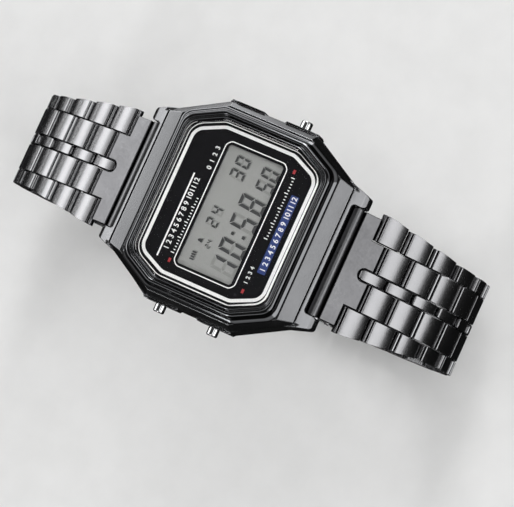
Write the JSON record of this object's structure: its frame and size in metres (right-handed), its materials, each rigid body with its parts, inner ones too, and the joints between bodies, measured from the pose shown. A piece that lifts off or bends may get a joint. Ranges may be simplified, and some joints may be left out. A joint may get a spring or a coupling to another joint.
{
  "type": "digital watch",
  "caption": "Digital wrist watch with an octagonal metal case, a liquid crystal display, push buttons and a closed five-column link bracelet with a fold-over clasp.",
  "frame": {"origin": "middle of the case back's flat face", "axes": "+Z out of the face, +Y to 12 o'clock, +X to 3 o'clock; the bracelet is closed below the case"},
  "size_m": [0.0358, 0.0781, 0.0433],
  "materials": {
    "case_metal": "dark mirror plating",
    "bezel_metal": "dark mirror plating",
    "crystal": "clear, polished",
    "dial": "black print on a clear sheet",
    "lcd": "grey display glass",
    "guide": "frosted",
    "zebra": "striped conductive rubber",
    "frame": "moulded",
    "board": "solder mask",
    "spring_steel": "bright",
    "cell": "nickel",
    "brass": "bare",
    "rubber": "matt",
    "back_steel": "brushed",
    "steel": "fine brushed",
    "polished_steel": "polished"
  },
  "bodies": {
    "case": {"case_shell": "case_metal", "bezel": "bezel_metal", "crystal": "crystal", "dial_plate": "dial", "display_glass": "lcd", "light_guide": "guide", "zebra_strips": "zebra", "module_frame": "frame", "circuit_board": "board", "contact_leaves": "spring_steel", "battery": "cell", "battery_strap": "spring_steel", "buzzer_disc": "brass", "gasket": "rubber", "case_back": "back_steel", "case_back_screws": "polished_steel", "button_seals": "rubber", "spring_bar_12": "polished_steel", "spring_bar_6": "polished_steel"},
    "button_light": {"button_light": "polished_steel"},
    "button_mode": {"button_mode": "polished_steel"},
    "button_start": {"button_start": "polished_steel"},
    "end_link_12": {"end_link_12": "steel"},
    "link_12_01": {"link_12_01": "steel"},
    "link_12_02": {"link_12_02": "steel"},
    "link_12_03": {"link_12_03": "steel"},
    "link_12_04": {"link_12_04": "steel"},
    "link_12_05": {"link_12_05": "steel"},
    "link_12_06": {"link_12_06": "steel"},
    "link_12_07": {"link_12_07": "steel"},
    "link_12_08": {"link_12_08": "steel"},
    "link_12_09": {"link_12_09": "steel"},
    "link_12_10": {"link_12_10": "steel"},
    "link_12_11": {"link_12_11": "steel"},
    "clasp_catch": {"clasp_catch": "steel"},
    "end_link_6": {"end_link_6": "steel"},
    "link_6_01": {"link_6_01": "steel"},
    "link_6_02": {"link_6_02": "steel"},
    "link_6_03": {"link_6_03": "steel"},
    "link_6_04": {"link_6_04": "steel"},
    "link_6_05": {"link_6_05": "steel"},
    "link_6_06": {"link_6_06": "steel"},
    "link_6_07": {"link_6_07": "steel"},
    "link_6_08": {"link_6_08": "steel"},
    "link_6_09": {"link_6_09": "steel"},
    "link_6_10": {"link_6_10": "steel"},
    "link_6_11": {"link_6_11": "steel"},
    "clasp_base": {"clasp_base": "steel", "clasp_pins": "steel"},
    "clasp_cover": {"clasp_cover": "polished_steel"},
    "clasp_lock_plate": {"clasp_lock_plate": "polished_steel"}
  },
  "joints": [
    {"name": "button_light_press", "type": "slide", "parent": "case", "child": "button_light", "axis": [1, 0, 0], "range_m": [0, 0.0006], "stiffness_N_per_m": 1500, "springref_m": -0.0006},
    {"name": "button_mode_press", "type": "slide", "parent": "case", "child": "button_mode", "axis": [1, 0, 0], "range_m": [0, 0.0006], "stiffness_N_per_m": 1500, "springref_m": -0.0006},
    {"name": "button_start_press", "type": "slide", "parent": "case", "child": "button_start", "axis": [-1, 0, 0], "range_m": [0, 0.0006], "stiffness_N_per_m": 1500, "springref_m": -0.0006},
    {"name": "bracelet_open", "type": "hinge", "parent": "case", "child": "end_link_12", "pos_m": [0, 0.0172, 0.0026], "axis": [1, 0, 0], "range_deg": [0, 23]},
    {"name": "hinge_12_01", "type": "hinge", "parent": "end_link_12", "child": "link_12_01", "pos_m": [0, 0.0218, 0.00065], "axis": [1, 0, 0], "range_deg": [0, 2.01]},
    {"name": "hinge_12_02", "type": "hinge", "parent": "link_12_01", "child": "link_12_02", "pos_m": [0, 0.02638, -0.00149], "axis": [1, 0, 0], "range_deg": [0, 2.01]},
    {"name": "hinge_12_03", "type": "hinge", "parent": "link_12_02", "child": "link_12_03", "pos_m": [0, 0.03088, -0.00378], "axis": [1, 0, 0], "range_deg": [0, 7.01]},
    {"name": "hinge_12_04", "type": "hinge", "parent": "link_12_03", "child": "link_12_04", "pos_m": [0, 0.03507, -0.0066], "axis": [1, 0, 0], "range_deg": [0, 11.01]},
    {"name": "hinge_12_05", "type": "hinge", "parent": "link_12_04", "child": "link_12_05", "pos_m": [0, 0.03864, -0.01018], "axis": [1, 0, 0], "range_deg": [0, 20.01]},
    {"name": "hinge_12_06", "type": "hinge", "parent": "link_12_05", "child": "link_12_06", "pos_m": [0, 0.04077, -0.01475], "axis": [1, 0, 0], "range_deg": [0, 22.01]},
    {"name": "hinge_12_07", "type": "hinge", "parent": "link_12_06", "child": "link_12_07", "pos_m": [0, 0.04104, -0.0198], "axis": [1, 0, 0], "range_deg": [0, 22.01]},
    {"name": "hinge_12_08", "type": "hinge", "parent": "link_12_07", "child": "link_12_08", "pos_m": [0, 0.03939, -0.02457], "axis": [1, 0, 0], "range_deg": [0, 21.01]},
    {"name": "hinge_12_09", "type": "hinge", "parent": "link_12_08", "child": "link_12_09", "pos_m": [0, 0.03614, -0.02844], "axis": [1, 0, 0], "range_deg": [0, 18.01]},
    {"name": "hinge_12_10", "type": "hinge", "parent": "link_12_09", "child": "link_12_10", "pos_m": [0, 0.03186, -0.03111], "axis": [1, 0, 0], "range_deg": [0, 13.01]},
    {"name": "hinge_12_11", "type": "hinge", "parent": "link_12_10", "child": "link_12_11", "pos_m": [0, 0.02709, -0.03276], "axis": [1, 0, 0], "range_deg": [0, 10.01]},
    {"name": "hinge_12_12", "type": "hinge", "parent": "link_12_11", "child": "clasp_catch", "pos_m": [0, 0.0221, -0.03355], "axis": [1, 0, 0], "range_deg": [0, 9.01]},
    {"name": "hinge_6_00", "type": "hinge", "parent": "case", "child": "end_link_6", "pos_m": [0, -0.0172, 0.0026], "axis": [-1, 0, 0], "range_deg": [0, 37.01]},
    {"name": "hinge_6_01", "type": "hinge", "parent": "end_link_6", "child": "link_6_01", "pos_m": [0, -0.02119, -0.00041], "axis": [-1, 0, 0], "range_deg": [0, 2.01]},
    {"name": "hinge_6_02", "type": "hinge", "parent": "link_6_01", "child": "link_6_02", "pos_m": [0, -0.02512, -0.00359], "axis": [-1, 0, 0], "range_deg": [0, 2.01]},
    {"name": "hinge_6_03", "type": "hinge", "parent": "link_6_02", "child": "link_6_03", "pos_m": [0, -0.02893, -0.0069], "axis": [-1, 0, 0], "range_deg": [0, 8.01]},
    {"name": "hinge_6_04", "type": "hinge", "parent": "link_6_03", "child": "link_6_04", "pos_m": [0, -0.03224, -0.01071], "axis": [-1, 0, 0], "range_deg": [0, 15.01]},
    {"name": "hinge_6_05", "type": "hinge", "parent": "link_6_04", "child": "link_6_05", "pos_m": [0, -0.03446, -0.01525], "axis": [-1, 0, 0], "range_deg": [0, 20.01]},
    {"name": "hinge_6_06", "type": "hinge", "parent": "link_6_05", "child": "link_6_06", "pos_m": [0, -0.03498, -0.02027], "axis": [-1, 0, 0], "range_deg": [0, 22.01]},
    {"name": "hinge_6_07", "type": "hinge", "parent": "link_6_06", "child": "link_6_07", "pos_m": [0, -0.03359, -0.02513], "axis": [-1, 0, 0], "range_deg": [0, 22.01]},
    {"name": "hinge_6_08", "type": "hinge", "parent": "link_6_07", "child": "link_6_08", "pos_m": [0, -0.03048, -0.02911], "axis": [-1, 0, 0], "range_deg": [0, 21.01]},
    {"name": "hinge_6_09", "type": "hinge", "parent": "link_6_08", "child": "link_6_09", "pos_m": [0, -0.02615, -0.03171], "axis": [-1, 0, 0], "range_deg": [0, 17.01]},
    {"name": "hinge_6_10", "type": "hinge", "parent": "link_6_09", "child": "link_6_10", "pos_m": [0, -0.02125, -0.03293], "axis": [-1, 0, 0], "range_deg": [0, 9.01]},
    {"name": "hinge_6_11", "type": "hinge", "parent": "link_6_10", "child": "link_6_11", "pos_m": [0, -0.01622, -0.03337], "axis": [-1, 0, 0], "range_deg": [0, 3.01]},
    {"name": "hinge_6_12", "type": "hinge", "parent": "link_6_11", "child": "clasp_base", "pos_m": [0, -0.01118, -0.03355], "axis": [-1, 0, 0], "range_deg": [0, 2.01]},
    {"name": "cover_open", "type": "hinge", "parent": "clasp_base", "child": "clasp_cover", "pos_m": [0, -0.00878, -0.0342], "axis": [-1, 0, 0], "range_deg": [0, 100]},
    {"name": "lock_plate_lift", "type": "hinge", "parent": "clasp_base", "child": "clasp_lock_plate", "pos_m": [0, 0.00082, -0.03275], "axis": [1, 0, 0], "range_deg": [0, 60]}
  ],
  "couplings": [
    {"joint": "hinge_12_01", "follows": "bracelet_open", "ratio": 0.086957},
    {"joint": "hinge_12_02", "follows": "bracelet_open", "ratio": 0.086957},
    {"joint": "hinge_12_03", "follows": "bracelet_open", "ratio": 0.30435},
    {"joint": "hinge_12_04", "follows": "bracelet_open", "ratio": 0.47826},
    {"joint": "hinge_12_05", "follows": "bracelet_open", "ratio": 0.86957},
    {"joint": "hinge_12_06", "follows": "bracelet_open", "ratio": 0.95652},
    {"joint": "hinge_12_07", "follows": "bracelet_open", "ratio": 0.95652},
    {"joint": "hinge_12_08", "follows": "bracelet_open", "ratio": 0.91304},
    {"joint": "hinge_12_09", "follows": "bracelet_open", "ratio": 0.78261},
    {"joint": "hinge_12_10", "follows": "bracelet_open", "ratio": 0.56522},
    {"joint": "hinge_12_11", "follows": "bracelet_open", "ratio": 0.43478},
    {"joint": "hinge_12_12", "follows": "bracelet_open", "ratio": 0.3913},
    {"joint": "hinge_6_00", "follows": "bracelet_open", "ratio": 1.6087},
    {"joint": "hinge_6_01", "follows": "bracelet_open", "ratio": 0.086957},
    {"joint": "hinge_6_02", "follows": "bracelet_open", "ratio": 0.086957},
    {"joint": "hinge_6_03", "follows": "bracelet_open", "ratio": 0.34783},
    {"joint": "hinge_6_04", "follows": "bracelet_open", "ratio": 0.65217},
    {"joint": "hinge_6_05", "follows": "bracelet_open", "ratio": 0.86957},
    {"joint": "hinge_6_06", "follows": "bracelet_open", "ratio": 0.95652},
    {"joint": "hinge_6_07", "follows": "bracelet_open", "ratio": 0.95652},
    {"joint": "hinge_6_08", "follows": "bracelet_open", "ratio": 0.91304},
    {"joint": "hinge_6_09", "follows": "bracelet_open", "ratio": 0.73913},
    {"joint": "hinge_6_10", "follows": "bracelet_open", "ratio": 0.3913},
    {"joint": "hinge_6_11", "follows": "bracelet_open", "ratio": 0.13043},
    {"joint": "hinge_6_12", "follows": "bracelet_open", "ratio": 0.086957}
  ]
}
